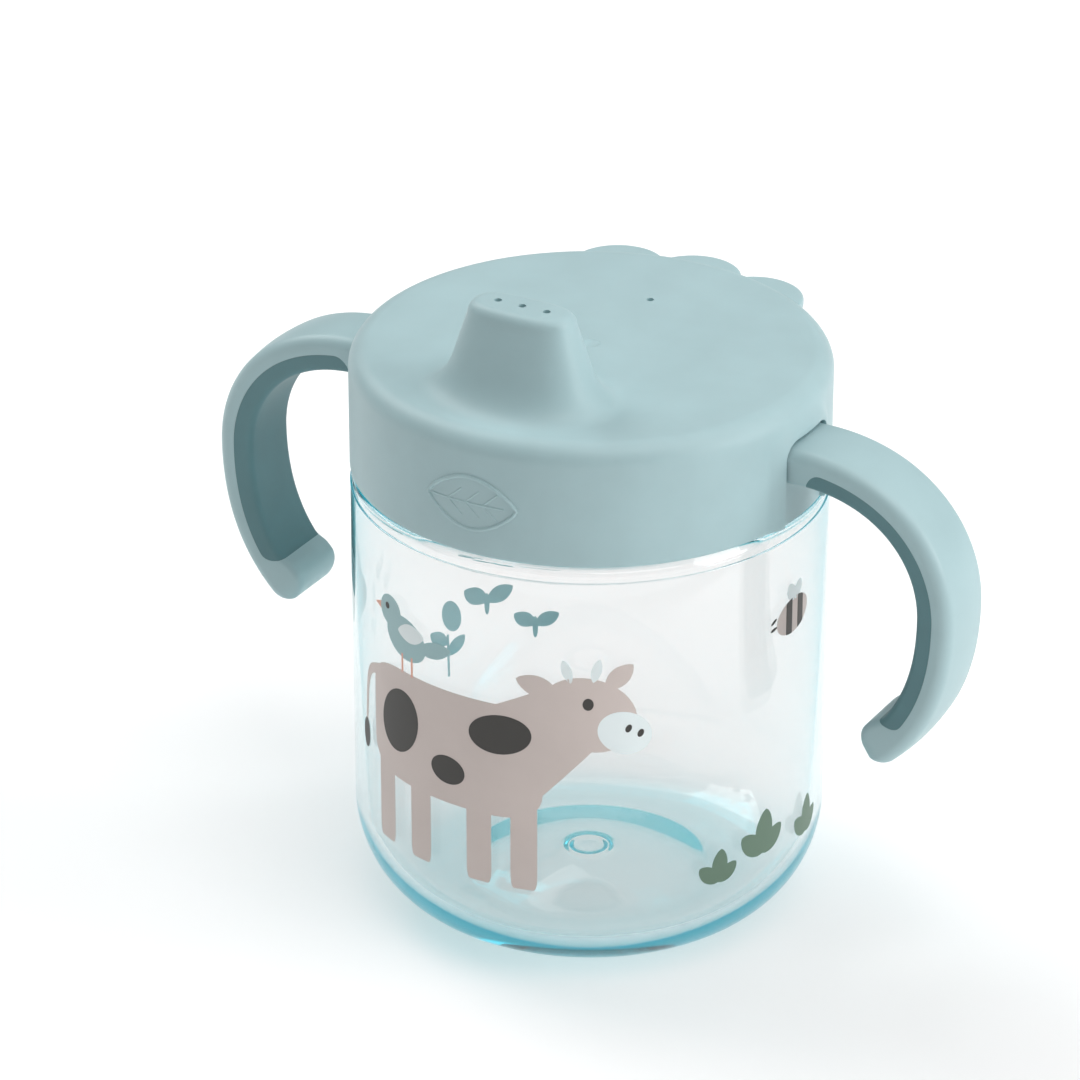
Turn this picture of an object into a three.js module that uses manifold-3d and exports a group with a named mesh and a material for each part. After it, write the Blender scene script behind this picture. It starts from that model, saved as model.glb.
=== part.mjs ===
// Toddler's sippy cup: a clear cup, a ring with two open handles, and a soft lid with a spout.
// Millimetres, +Z up. The origin is on the cup's axis, in the plane that it stands on. The handles
// lie along X, the spout is towards -Y, and the air vent and the pull tab are towards +Y.
import * as THREE from "three";
import { mergeVertices } from "three/addons/utils/BufferGeometryUtils.js";
import Module from "manifold-3d";

const wasm = await Module();
wasm.setup();

// Driving dimensions
const CUP_RADIUS = 40; // outside of the cup, and of the lid's skirt
const LID_TOP = 100.4; // height of the lid's flat top
const FACETS = 48; // round each turned piece
const GAP = 0.3; // clearance between pieces that touch
const OVERRUN = 1; // how far a cutter runs past the surface that it cuts
const MERGE_DISTANCE = 1e-4;

// Cup
const CUP_WALL = 2.4;
const FOOT_RADIUS = 25.4; // outer edge of the flat ring that it stands on
const FOOT_WIDTH = 4.4;
const CORNER_HEIGHT = 17.5; // where the round bottom corner becomes the straight wall
const FLOOR_THICKNESS = 2.7;
const FLOOR_EDGE = 3.4; // height of the inner floor where the corner starts
const DOME_RISE = 4.6; // how far the floor's underside rises at the centre
const DOME_STEPS = 5; // the gate's groove takes the place of the middle one
const FLOOR_STEPS = 4;
const CORNER_STEPS = 7;
const SHOULDER_STEPS = 4;
const GATE_RADIUS = 3.3; // round groove left by the mould's gate
const GATE_WIDTH = 1.8;
const GATE_DEPTH = 0.7;
const SHOULDER_TOP = 79;
const SHOULDER_ROUND = 2.8;
const SHOULDER_DROP = 2.6; // height over which the inside narrows to the neck
const NECK_RADIUS = 36.7;
const NECK_WALL = 2;
const NECK_TOP = 98.1;
const RIM_ROUND = 0.8;

// Lid
const LID_THICKNESS = 2;
const LID_ROUND = 3.5; // rounded edge between the top and the skirt
const SKIRT_WALL = 1.5;
const SKIRT_BOTTOM = 79.3;
const PLUG_WALL = 1.4; // ring under the lid that plugs the neck
const PLUG_BOTTOM = 91;
const EDGE_BREAK = 0.4;
const RIM_STEPS = 6;
const VENT_Y = 20;
const HOLE_RADIUS = 0.65;
const HOLE_SIDES = 12;

// Spout
const SPOUT_TOP = 116;
const SPOUT_Y = -22.4;
const SPOUT_TIP_LENGTH = 18.6; // along X
const SPOUT_TIP_DEPTH = 9.2; // along Y
const SPOUT_DRAFT = 0.33; // how much each side moves out per millimetre down
const SPOUT_FLARE = 4; // extra reach where the sides sweep into the lid
const HOLLOW_FLARE = 1.3;
const SPOUT_FLARE_POWER = 5;
const SPOUT_WALL = 1.8;
const SPOUT_ROUND = 1.8; // rounded edge of the tip
const TIP_SQUARENESS = 2.9; // 2 is an ellipse, more is squarer
const BASE_SQUARENESS = 2.2;
const SPOUT_FACETS = 40;
const SPOUT_RINGS = 8;
const SPOUT_HOLES = 3;
const SPOUT_HOLE_PITCH = 4.5;

// Pull tab
const TAB_TOP = 99.2;
const TAB_THICKNESS = 2;
const TAB_LOBES = 3;
const LOBE_RADIUS = 8;
const LOBE_DISTANCE = 35.4; // from the cup's axis to a lobe's centre
const LOBE_ANGLE = 22; // degrees from one lobe to the next
const LOBE_FACETS = 32;

// Handle ring, its arms and their grips
const RING_WALL = 1.2;
const RING_TOP = 95;
const ARM_WIDTH = 13.4;
const ARM_THICKNESS = 6.8;
const ARM_ROUND = 1.5; // rounded long edges
const ARM_STEPS = 18;
const TIP_STEPS = 6;
const ARM_ROOT = [38.5, 93.6]; // X and Z of the arm's outer line at the ring
const ROOT_CONTROL = [58.6, 95.2]; // leads the line outwards from the ring
const BEND_HEIGHT = 82.4; // leads it straight down into the outermost point
const ARM_OUTERMOST = [70.3, 68];
const WAIST_HEIGHT = 57.2; // leads it straight down out of that point
const TIP_CONTROL = [67.4, 48]; // leads it in under to the tip
const ARM_TIP = [60.3, 41];
const ROOT_WIDTH = 13.6; // arch that the arm's root fills in the lid's skirt
const ROOT_TOP = 94.3;
const ROOT_CORNER = 3.2;
const ROOT_INSET = 0.1; // how far the arch lies below the skirt's outside
const LIP_HEIGHT = 0.8; // how far the skirt swells out round the arch
const LIP_WIDTH = 2;
const GRIP_SEAT = 3.6; // thickness of the arm behind its grip
const GRIP_START = 0.1; // shares of the arm's length at which the grip starts and ends
const GRIP_END = 0.95;
const GRIP_ROUND = 0.9;

// A closed geometry as a solid that can be joined and cut.
function solid(geometry) {
  const bare = geometry.clone();
  bare.deleteAttribute("normal");
  bare.deleteAttribute("uv");
  const merged = mergeVertices(bare, MERGE_DISTANCE);
  const mesh = new wasm.Mesh({
    numProp: 3,
    vertProperties: new Float32Array(merged.attributes.position.array),
    triVerts: new Uint32Array(merged.index.array),
  });
  return new wasm.Manifold(mesh);
}

function geometryOf(manifold) {
  const mesh = manifold.getMesh();
  const geometry = new THREE.BufferGeometry();
  geometry.setAttribute("position", new THREE.BufferAttribute(mesh.vertProperties, 3));
  geometry.setIndex(new THREE.BufferAttribute(mesh.triVerts, 1));
  geometry.computeVertexNormals();
  return geometry;
}

// Even shares from 0 to 1.
function shares(steps) {
  return Array.from({ length: steps + 1 }, (_, i) => i / steps);
}

// Points of an elliptical arc, in degrees.
function arc(centreX, centreY, radiusX, radiusY, start, end, steps) {
  return shares(steps).map((share) => {
    const angle = THREE.MathUtils.degToRad(start + (end - start) * share);
    return [centreX + radiusX * Math.cos(angle), centreY + radiusY * Math.sin(angle)];
  });
}

// Turns an outline of [radius, height] points about Z. It runs from the axis up the outside
// and back down, or closes on itself.
function turned(outline, facets = FACETS) {
  const points = outline.map(([radius, height]) => new THREE.Vector2(radius, height));
  return new THREE.LatheGeometry(points, facets).rotateX(Math.PI / 2);
}

function disc(radius, low, high) {
  return turned([[0, low], [radius, low], [radius, high], [0, high]]);
}

// Height of the hollow under the cup's floor.
function domeHeight(radius) {
  const edge = FOOT_RADIUS - FOOT_WIDTH;
  return DOME_RISE * (1 - (radius / edge) ** 2);
}

function cupBody() {
  const domeEdge = FOOT_RADIUS - FOOT_WIDTH;
  const gateInner = GATE_RADIUS - GATE_WIDTH / 2;
  const gateOuter = GATE_RADIUS + GATE_WIDTH / 2;
  const domeRadii = shares(DOME_STEPS)
    .map((share) => share * domeEdge)
    .filter((radius) => radius > gateOuter + GATE_WIDTH);
  const innerRadius = CUP_RADIUS - CUP_WALL;
  const neckInner = NECK_RADIUS - NECK_WALL;
  const outerCorner = CUP_RADIUS - FOOT_RADIUS;
  const innerCorner = innerRadius - FOOT_RADIUS;
  const innerCornerHeight = CORNER_HEIGHT - FLOOR_EDGE;
  const neckStart = SHOULDER_TOP - EDGE_BREAK;
  const shoulderInside = shares(SHOULDER_STEPS).map((share) => {
    const narrowing = (1 - Math.cos(Math.PI * share)) / 2;
    const radius = neckInner + (innerRadius - neckInner) * narrowing;
    return [radius, neckStart - SHOULDER_DROP * share];
  });
  const floor = shares(FLOOR_STEPS).slice(1).map((share) => {
    const radius = (1 - share) * domeEdge;
    return [radius, domeHeight(radius) + FLOOR_THICKNESS];
  });
  return turned([
    [0, domeHeight(0)],
    [gateInner, domeHeight(gateInner)],
    [gateInner, domeHeight(gateInner) + GATE_DEPTH],
    [gateOuter, domeHeight(gateInner) + GATE_DEPTH],
    [gateOuter, domeHeight(gateOuter)],
    ...domeRadii.map((radius) => [radius, domeHeight(radius)]),
    ...arc(FOOT_RADIUS, CORNER_HEIGHT, outerCorner, CORNER_HEIGHT, -90, 0, CORNER_STEPS),
    ...arc(
      CUP_RADIUS - SHOULDER_ROUND,
      SHOULDER_TOP - SHOULDER_ROUND,
      SHOULDER_ROUND,
      SHOULDER_ROUND,
      0,
      90,
      SHOULDER_STEPS,
    ),
    [NECK_RADIUS, SHOULDER_TOP],
    ...arc(NECK_RADIUS - RIM_ROUND, NECK_TOP - RIM_ROUND, RIM_ROUND, RIM_ROUND, 0, 90, 2),
    ...arc(neckInner + RIM_ROUND, NECK_TOP - RIM_ROUND, RIM_ROUND, RIM_ROUND, 90, 180, 2),
    ...shoulderInside,
    ...arc(FOOT_RADIUS, CORNER_HEIGHT, innerCorner, innerCornerHeight, 0, -90, CORNER_STEPS),
    ...floor,
  ]);
}

// Half sizes and squareness of the spout's section at a height.
function spoutSection(height, flare) {
  const drop = SPOUT_TOP - Math.max(height, LID_TOP);
  const share = drop / (SPOUT_TOP - LID_TOP);
  const reach = SPOUT_DRAFT * drop + flare * share ** SPOUT_FLARE_POWER;
  return {
    halfLength: SPOUT_TIP_LENGTH / 2 + reach,
    halfDepth: SPOUT_TIP_DEPTH / 2 + reach,
    squareness: THREE.MathUtils.lerp(TIP_SQUARENESS, BASE_SQUARENESS, share),
  };
}

// The spout's outside, or its hollow when inset: a turned shape, stretched along X and squared.
function spoutSolid(bottom, inset, flare) {
  const top = SPOUT_TOP - inset;
  const round = SPOUT_ROUND;
  const sides = Array.from({ length: SPOUT_RINGS + 1 }, (_, i) => {
    const height = bottom + ((top - round - bottom) * i) / SPOUT_RINGS;
    return [spoutSection(height, flare).halfDepth - inset, height];
  });
  const tipEdge = spoutSection(top - round, flare).halfDepth - inset - round;
  const edge = arc(tipEdge, top - round, round, round, 30, 90, 2);
  const geometry = turned([[0, bottom], ...sides, ...edge, [0, top]], SPOUT_FACETS);
  const position = geometry.attributes.position;
  for (let i = 0; i < position.count; i += 1) {
    const x = position.getX(i);
    const y = position.getY(i);
    const radius = Math.hypot(x, y);
    const section = spoutSection(position.getZ(i), flare);
    const squared = (value) => Math.sign(value) * Math.abs(value) ** (2 / section.squareness);
    if (radius > MERGE_DISTANCE) {
      const extra = section.halfLength - section.halfDepth;
      position.setX(i, squared(x / radius) * (radius + extra));
      position.setY(i, squared(y / radius) * radius);
    }
  }
  return solid(geometry.translate(0, SPOUT_Y, 0));
}

function hole(x, y, low, high) {
  const geometry = new THREE.CylinderGeometry(HOLE_RADIUS, HOLE_RADIUS, high - low, HOLE_SIDES);
  return solid(geometry.rotateX(Math.PI / 2).translate(x, y, (low + high) / 2));
}

function pullTab() {
  const lobe = new THREE.CylinderGeometry(LOBE_RADIUS, LOBE_RADIUS, TAB_THICKNESS, LOBE_FACETS);
  lobe.rotateX(Math.PI / 2).translate(0, LOBE_DISTANCE, TAB_TOP - TAB_THICKNESS / 2);
  const lobes = Array.from({ length: TAB_LOBES }, (_, i) => {
    const angle = THREE.MathUtils.degToRad((i - (TAB_LOBES - 1) / 2) * LOBE_ANGLE);
    return solid(lobe.clone().rotateZ(angle));
  });
  const inside = disc(CUP_RADIUS - SKIRT_WALL + EDGE_BREAK, TAB_TOP - 2 * TAB_THICKNESS, LID_TOP);
  return lobes.reduce((joined, next) => joined.add(next)).subtract(solid(inside));
}

// Arch-shaped block at the root of the right arm, between two distances along X.
function rootBlock(margin, innerX, outerX) {
  const half = ROOT_WIDTH / 2 + margin;
  const top = ROOT_TOP + margin;
  const bottom = SKIRT_BOTTOM - margin;
  const corner = ROOT_CORNER + margin;
  const outline = [
    [-half, bottom],
    [half, bottom],
    ...arc(half - corner, top - corner, corner, corner, 0, 90, 4),
    ...arc(corner - half, top - corner, corner, corner, 90, 180, 4),
  ];
  const shape = new THREE.Shape(outline.map(([y, z]) => new THREE.Vector2(y, z)));
  const geometry = new THREE.ExtrudeGeometry(shape, { depth: outerX - innerX, bevelEnabled: false });
  const alongX = new THREE.Matrix4().makeBasis(
    new THREE.Vector3(0, 1, 0),
    new THREE.Vector3(0, 0, 1),
    new THREE.Vector3(1, 0, 0),
  );
  return solid(geometry.applyMatrix4(alongX).translate(innerX, 0, 0));
}

// The skirt's swelling round the right arm, before the arm's notch is cut.
function skirtLip() {
  const limit = disc(CUP_RADIUS + LIP_HEIGHT, SKIRT_BOTTOM, LID_TOP);
  const inner = disc(CUP_RADIUS - SKIRT_WALL / 2, SKIRT_BOTTOM - OVERRUN, LID_TOP + OVERRUN);
  const block = rootBlock(LIP_WIDTH, CUP_RADIUS / 2, CUP_RADIUS + LIP_HEIGHT + OVERRUN);
  return block.intersect(solid(limit)).subtract(solid(inner));
}

function spoutLid() {
  const underside = LID_TOP - LID_THICKNESS;
  const skirtInner = CUP_RADIUS - SKIRT_WALL;
  const plugOuter = NECK_RADIUS - NECK_WALL - GAP;
  const plugInner = plugOuter - PLUG_WALL;
  const roundCentre = CUP_RADIUS - LID_ROUND;
  const shell = turned([
    [0, underside],
    [plugInner, underside],
    [plugInner, PLUG_BOTTOM],
    [plugOuter - EDGE_BREAK, PLUG_BOTTOM],
    [plugOuter, PLUG_BOTTOM + EDGE_BREAK],
    [plugOuter, underside],
    [skirtInner, underside],
    [skirtInner, SKIRT_BOTTOM],
    [CUP_RADIUS - EDGE_BREAK, SKIRT_BOTTOM],
    [CUP_RADIUS, SKIRT_BOTTOM + EDGE_BREAK],
    ...arc(roundCentre, LID_TOP - LID_ROUND, LID_ROUND, LID_ROUND, 0, 90, RIM_STEPS),
    [0, LID_TOP],
  ]);
  const outside = spoutSolid(LID_TOP - LID_THICKNESS / 2, 0, SPOUT_FLARE);
  const hollow = spoutSolid(underside - OVERRUN, SPOUT_WALL, HOLLOW_FLARE);
  const lip = skirtLip();
  const notch = rootBlock(GAP, CUP_RADIUS - 2 * SKIRT_WALL, CUP_RADIUS + LIP_HEIGHT + OVERRUN);
  let lid = solid(shell).add(outside).subtract(hollow).add(pullTab());
  lid = lid.subtract(hole(0, VENT_Y, underside - OVERRUN, LID_TOP + OVERRUN));
  for (let i = 0; i < SPOUT_HOLES; i += 1) {
    const x = (i - (SPOUT_HOLES - 1) / 2) * SPOUT_HOLE_PITCH;
    lid = lid.subtract(hole(x, SPOUT_Y, SPOUT_TOP - 2 * SPOUT_WALL, SPOUT_TOP + OVERRUN));
  }
  for (const turn of [0, 180]) {
    lid = lid.add(lip.rotate([0, 0, turn])).subtract(notch.rotate([0, 0, turn]));
  }
  return geometryOf(lid);
}

// Outer line of the right arm in X and Z, from the ring to the free tip.
function armPath() {
  const vector = ([x, z]) => new THREE.Vector2(x, z);
  const path = new THREE.CurvePath();
  path.add(
    new THREE.CubicBezierCurve(
      vector(ARM_ROOT),
      vector(ROOT_CONTROL),
      vector([ARM_OUTERMOST[0], BEND_HEIGHT]),
      vector(ARM_OUTERMOST),
    ),
  );
  path.add(
    new THREE.CubicBezierCurve(
      vector(ARM_OUTERMOST),
      vector([ARM_OUTERMOST[0], WAIST_HEIGHT]),
      vector(TIP_CONTROL),
      vector(ARM_TIP),
    ),
  );
  return path;
}

const path = armPath();

// A point on the arm, at a share of its length and a depth below its outer line.
function armPoint(share, depth) {
  const point = path.getPointAt(share);
  const tangent = path.getTangentAt(share);
  return [point.x + tangent.y * depth, point.y - tangent.x * depth];
}

function armLine(start, end, depth) {
  return shares(ARM_STEPS).map((share) => armPoint(start + (end - start) * share, depth));
}

// An X and Z outline made into a bar of the given width along Y, with rounded long edges.
function bar(outline, width, round) {
  const shape = new THREE.Shape(outline.map(([x, z]) => new THREE.Vector2(x, z)));
  const geometry = new THREE.ExtrudeGeometry(shape, {
    depth: width - 2 * round,
    bevelEnabled: round > 0,
    bevelThickness: round,
    bevelSize: round,
    bevelOffset: -round,
    bevelSegments: 2,
  });
  return geometry.rotateX(Math.PI / 2).translate(0, width / 2 - round, 0);
}

function armOutline() {
  const centre = armPoint(1, ARM_THICKNESS / 2);
  const tangent = path.getTangentAt(1);
  const radius = ARM_THICKNESS / 2;
  const tip = [];
  for (let i = 1; i < TIP_STEPS; i += 1) {
    const angle = (Math.PI * i) / TIP_STEPS;
    const along = radius * Math.sin(angle);
    const inward = -radius * Math.cos(angle);
    tip.push([
      centre[0] + tangent.x * along + tangent.y * inward,
      centre[1] + tangent.y * along - tangent.x * inward,
    ]);
  }
  return [...armLine(0, 1, 0), ...tip, ...armLine(0, 1, ARM_THICKNESS).reverse()];
}

function gripOutline(start, end, nearDepth, farDepth) {
  return [...armLine(start, end, nearDepth), ...armLine(start, end, farDepth).reverse()];
}

function handleRing() {
  const inner = NECK_RADIUS + GAP;
  const outer = inner + RING_WALL;
  const ring = turned([
    [inner, SKIRT_BOTTOM],
    [outer, SKIRT_BOTTOM],
    [outer, RING_TOP],
    [inner, RING_TOP],
    [inner, SKIRT_BOTTOM],
  ]);
  const bore = disc(inner, SKIRT_BOTTOM - OVERRUN, RING_TOP + OVERRUN);
  const rootLimit = disc(CUP_RADIUS - ROOT_INSET, SKIRT_BOTTOM, RING_TOP);
  const root = rootBlock(0, inner - RING_WALL, CUP_RADIUS + OVERRUN).intersect(solid(rootLimit));
  const seat = bar(
    gripOutline(GRIP_START, GRIP_END, GRIP_SEAT, ARM_THICKNESS + OVERRUN),
    ARM_WIDTH + 2 * OVERRUN,
    0,
  );
  const arm = solid(bar(armOutline(), ARM_WIDTH, ARM_ROUND)).subtract(solid(seat));
  const side = arm.add(root).subtract(solid(bore));
  const otherSide = side.rotate([0, 0, 180]);
  return geometryOf(solid(ring).add(side).add(otherSide));
}

function grip() {
  const endGap = GAP / path.getLength();
  return bar(
    gripOutline(GRIP_START + endGap, GRIP_END - endGap, GRIP_SEAT + GAP, ARM_THICKNESS),
    ARM_WIDTH,
    GRIP_ROUND,
  );
}

function piece(name, geometry, look) {
  const mesh = new THREE.Mesh(geometry, new THREE.MeshStandardMaterial(look));
  mesh.name = name;
  return mesh;
}

const cup = new THREE.Group();
cup.add(
  piece("cup_body", cupBody(), {
    color: 0xd6ecec,
    roughness: 0.05,
    metalness: 0,
    transparent: true,
    opacity: 0.35,
  }),
);
cup.add(piece("handle_ring", handleRing(), { color: 0x9dbabd, roughness: 0.45, metalness: 0 }));
for (const [name, turn] of [["grip_right", 0], ["grip_left", Math.PI]]) {
  const mesh = piece(name, grip(), { color: 0x6d979b, roughness: 0.7, metalness: 0 });
  mesh.rotation.z = turn;
  cup.add(mesh);
}
cup.add(piece("spout_lid", spoutLid(), { color: 0xa3c1c4, roughness: 0.6, metalness: 0 }));

export default cup;
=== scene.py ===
# Toddler's sippy cup: the visible pieces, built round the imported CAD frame.
# Metres, in the CAD frame: +Z up, handles along X, spout towards -Y, pull tab towards +Y.
import math

import bmesh
import bpy
from mathutils import Matrix, Vector
from mathutils.geometry import delaunay_2d_cdt


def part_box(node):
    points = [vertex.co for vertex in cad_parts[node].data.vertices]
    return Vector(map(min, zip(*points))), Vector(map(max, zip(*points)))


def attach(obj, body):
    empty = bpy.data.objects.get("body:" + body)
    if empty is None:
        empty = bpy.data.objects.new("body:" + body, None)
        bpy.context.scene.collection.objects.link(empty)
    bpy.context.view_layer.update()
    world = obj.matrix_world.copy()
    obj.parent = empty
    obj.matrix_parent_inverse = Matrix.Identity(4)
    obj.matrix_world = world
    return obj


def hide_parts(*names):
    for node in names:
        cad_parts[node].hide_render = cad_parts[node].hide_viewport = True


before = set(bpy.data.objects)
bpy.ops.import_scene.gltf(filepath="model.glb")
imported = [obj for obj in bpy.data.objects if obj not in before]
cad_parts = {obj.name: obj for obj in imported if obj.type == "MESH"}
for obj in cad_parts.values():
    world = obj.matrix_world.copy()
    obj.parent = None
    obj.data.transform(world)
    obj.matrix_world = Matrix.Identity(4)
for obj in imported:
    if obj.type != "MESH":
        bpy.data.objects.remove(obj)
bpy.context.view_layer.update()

MM = 0.001

# Sizes read from the frame
_, CUP_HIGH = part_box("cup_body")
LID_LOW, LID_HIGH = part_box("spout_lid")
_, RING_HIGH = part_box("handle_ring")
CUP_RADIUS = CUP_HIGH[0]
NECK_TOP = CUP_HIGH[2]
SKIRT_BOTTOM = LID_LOW[2]
SPOUT_TOP = LID_HIGH[2]
ARM_REACH = RING_HIGH[0]

# Cup
SEGMENTS = 320
CUP_WALL = 2.4 * MM
FOOT_RADIUS = 25.4 * MM
FOOT_WIDTH = 4.4 * MM
CORNER_HEIGHT = 17.5 * MM
FLOOR_THICKNESS = 2.7 * MM
FLOOR_EDGE = 3.4 * MM
DOME_RISE = 4.6 * MM
DOME_BLEND = 1.5 * MM
GATE_RADIUS = 3.3 * MM
GATE_WIDTH = 1.8 * MM
GATE_DEPTH = 0.7 * MM
SHOULDER_TOP = SKIRT_BOTTOM - 0.75 * MM
SHOULDER_ROUND = 1.2 * MM
SHOULDER_DROP = 1.5 * MM
STEP_TOP = SHOULDER_TOP - 2.05 * MM  # fine step in the wall under the shoulder
STEP_DEPTH = 0.25 * MM
NECK_RADIUS = 36.7 * MM
NECK_WALL = 2 * MM
NECK_GAP = 0.3 * MM  # between the neck and both the lid's plug and the handle ring

# Lid
LID_TOP = NECK_TOP + 2.3 * MM
LID_THICKNESS = 2 * MM
LID_ROUND = 3.5 * MM
SKIRT_WALL = 1.5 * MM
PLUG_WALL = 1.4 * MM
PLUG_BOTTOM = LID_TOP - 9.4 * MM
TAB_TOP = LID_TOP - 1.2 * MM
TAB_THICKNESS = 2 * MM
SPOUT_Y = -22.4 * MM
TIP_HALF_LENGTH = 9.3 * MM
TIP_HALF_DEPTH = 4.6 * MM
SPOUT_DRAFT = 0.33
SPOUT_WALL = 1.8 * MM
HOLE_RADIUS = 0.65 * MM
HOLE_SPACING = 4.5 * MM
PIN_TURN = 0.07  # radians
VENT_Y = 20 * MM

# Handle ring and arms
RING_WALL = 1.2 * MM
RING_TOP = 95 * MM
ARM_HALF_WIDTH = 6.7 * MM
ARM_THICKNESS = 6.8 * MM
ARM_CROWN = 0.3 * MM
ARM_TAPER = 0.5 * MM
OUTER_ROUND = 2.1 * MM
INNER_ROUND = 1.3 * MM
TIP_NARROWING = 1.7 * MM
TIP_LIP = 0.9 * MM
GRIP_SEAT = 3.6 * MM
GRIP_GAP = 0.03 * MM
GRIP_START, GRIP_END = 0.06, 0.952  # shares of the arm's length
GRIP_TURN = 0.045  # share of the arm's length over which the grip's ends curve up
ROOT_HALF_WIDTH = ARM_HALF_WIDTH + 0.1 * MM
ROOT_TOP = 94.3 * MM
ROOT_CORNER = 3.2 * MM
LIP_HEIGHT = 0.85 * MM
LIP_WIDTH = 3.6 * MM


# ---------------------------------------------------------------- mesh helpers

def circle(radius, height, count=SEGMENTS, centre_y=0.0):
    """A level ring of points, starting at +X."""
    step = 2 * math.pi / count
    return [
        Vector((radius * math.cos(i * step), centre_y + radius * math.sin(i * step), height))
        for i in range(count)
    ]


def arc(centre, radii, start, end, steps):
    """(radius, height) points along an elliptical arc, in degrees."""
    points = []
    for i in range(steps + 1):
        angle = math.radians(start + (end - start) * i / steps)
        points.append((centre[0] + radii[0] * math.cos(angle), centre[1] + radii[1] * math.sin(angle)))
    return points


def skin(rings, closed=False):
    """Faces between successive rings of points. A ring of one point is a pole."""
    mesh = bmesh.new()
    rows = [[mesh.verts.new(point) for point in ring] for ring in rings]
    following = rows[1:] + (rows[:1] if closed else [])
    for low, high in zip(rows, following):
        count = max(len(low), len(high))
        for i in range(count):
            j = (i + 1) % count
            if len(low) == 1:
                mesh.faces.new((low[0], high[j], high[i]))
            elif len(high) == 1:
                mesh.faces.new((low[i], low[j], high[0]))
            else:
                mesh.faces.new((low[i], low[j], high[j], high[i]))
    if not closed:
        for row in (rows[0], rows[-1]):
            if len(row) > 1:
                mesh.faces.new(row)
    bmesh.ops.recalc_face_normals(mesh, faces=mesh.faces[:])
    return mesh


def revolve(profile, closed=False, count=SEGMENTS):
    """Turns (radius, height) points about Z."""
    rings = []
    for radius, height in profile:
        rings.append([Vector((0, 0, height))] if radius < 1e-7 else circle(radius, height, count))
    return skin(rings, closed)


def temporary(mesh):
    data = bpy.data.meshes.new("temporary")
    mesh.to_mesh(data)
    mesh.free()
    made = bpy.data.objects.new("temporary", data)
    bpy.context.scene.collection.objects.link(made)
    return made


def combined(first, second, operation):
    """The union, difference or intersection of two closed meshes."""
    target, tool = temporary(first), temporary(second)
    modifier = target.modifiers.new("combine", "BOOLEAN")
    modifier.operation = operation
    modifier.solver = "EXACT"
    modifier.object = tool
    evaluated = target.evaluated_get(bpy.context.evaluated_depsgraph_get())
    result = bmesh.new()
    result.from_mesh(evaluated.to_mesh())
    evaluated.to_mesh_clear()
    for used in (target, tool):
        data = used.data
        bpy.data.objects.remove(used)
        bpy.data.meshes.remove(data)
    return result


def piece(name, mesh, material, body, sharp_angle=35.0, replaced=None):
    """Makes a visible object from a bmesh, smooth except at edges over sharp_angle degrees."""
    bmesh.ops.remove_doubles(mesh, verts=mesh.verts[:], dist=0.001 * MM)
    limit = math.radians(sharp_angle)
    for edge in mesh.edges:
        edge.smooth = len(edge.link_faces) == 2 and edge.calc_face_angle(0.0) < limit
    for face in mesh.faces:
        face.smooth = True
    data = bpy.data.meshes.new(name)
    mesh.to_mesh(data)
    mesh.free()
    data.materials.append(material)
    made = bpy.data.objects.new(name, data)
    bpy.context.scene.collection.objects.link(made)
    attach(made, body)
    if replaced:
        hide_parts(replaced)
    return made


def inside(point, polygon):
    """True if a 2-D point lies in a polygon."""
    x, y = point
    odd = False
    for (x0, y0), (x1, y1) in zip(polygon, polygon[1:] + polygon[:1]):
        if (y0 > y) != (y1 > y) and x < x0 + (y - y0) * (x1 - x0) / (y1 - y0):
            odd = not odd
    return odd


def on_wall(along, height, radius):
    """The place on a cylinder round Z, from the arc length along the cup's wall, 0 at the spout."""
    angle = along / CUP_RADIUS
    return Vector((radius * math.sin(angle), -radius * math.cos(angle), height))


def wrapped(outlines, inner, outer, within=None, chamfer=0.0, step=1.6 * MM):
    """A closed sheet bent round the cup: the union of flat outlines of (arc length, height),
    between two radii. within keeps only what lies in another outline too."""
    points, edges = [], []
    for outline in outlines + ([within] if within else []):
        first = len(points)
        points += [Vector(point) for point in outline]
        count = len(outline)
        edges += [(first + i, first + (i + 1) % count) for i in range(count)]
    lows = [min(point[k] for point in points) for k in (0, 1)]
    highs = [max(point[k] for point in points) for k in (0, 1)]
    across = int((highs[0] - lows[0]) / step)
    for i in range(1, across + 1):
        along = lows[0] + i * step
        points += [Vector((along, lows[1])), Vector((along, highs[1]))]
        edges.append((len(points) - 2, len(points) - 1))
    found, _, faces, *_ = delaunay_2d_cdt(points, edges, [], 0, 1e-7)
    kept = []
    for face in faces:
        middle = sum((found[i] for i in face), Vector((0, 0))) / len(face)
        if within and not inside(middle, within):
            continue
        if any(inside(middle, outline) for outline in outlines):
            kept.append(face)
    mesh = bmesh.new()
    layers = []
    for radius in (inner, outer):
        used = {i: mesh.verts.new(on_wall(*found[i], radius)) for face in kept for i in face}
        layers.append(used)
    sides = {}
    for face in kept:
        mesh.faces.new([layers[0][i] for i in face])
        mesh.faces.new([layers[1][i] for i in reversed(face)])
        for a, b in zip(face, list(face[1:]) + [face[0]]):
            if (b, a) in sides:
                del sides[(b, a)]
            else:
                sides[(a, b)] = True
    for a, b in sides:
        mesh.faces.new((layers[0][a], layers[0][b], layers[1][b], layers[1][a]))
    bmesh.ops.recalc_face_normals(mesh, faces=mesh.faces[:])
    if chamfer:
        rim = [
            edge for edge in mesh.edges
            if abs(edge.calc_face_angle(0.0)) > 1.0
            and all(math.hypot(v.co.x, v.co.y) > (inner + outer) / 2 for v in edge.verts)
        ]
        bmesh.ops.bevel(mesh, geom=rim, offset=chamfer, segments=3, affect="EDGES", profile=0.5)
    return mesh


# ---------------------------------------------------------------- materials

GLASS_DEPTH = 4.5  # bounces after which trapped light leaves the clear wall


def node(tree, kind, **values):
    made = tree.nodes.new(kind)
    for name, value in values.items():
        made.inputs[name.replace("_", " ")].default_value = value
    return made


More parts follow.
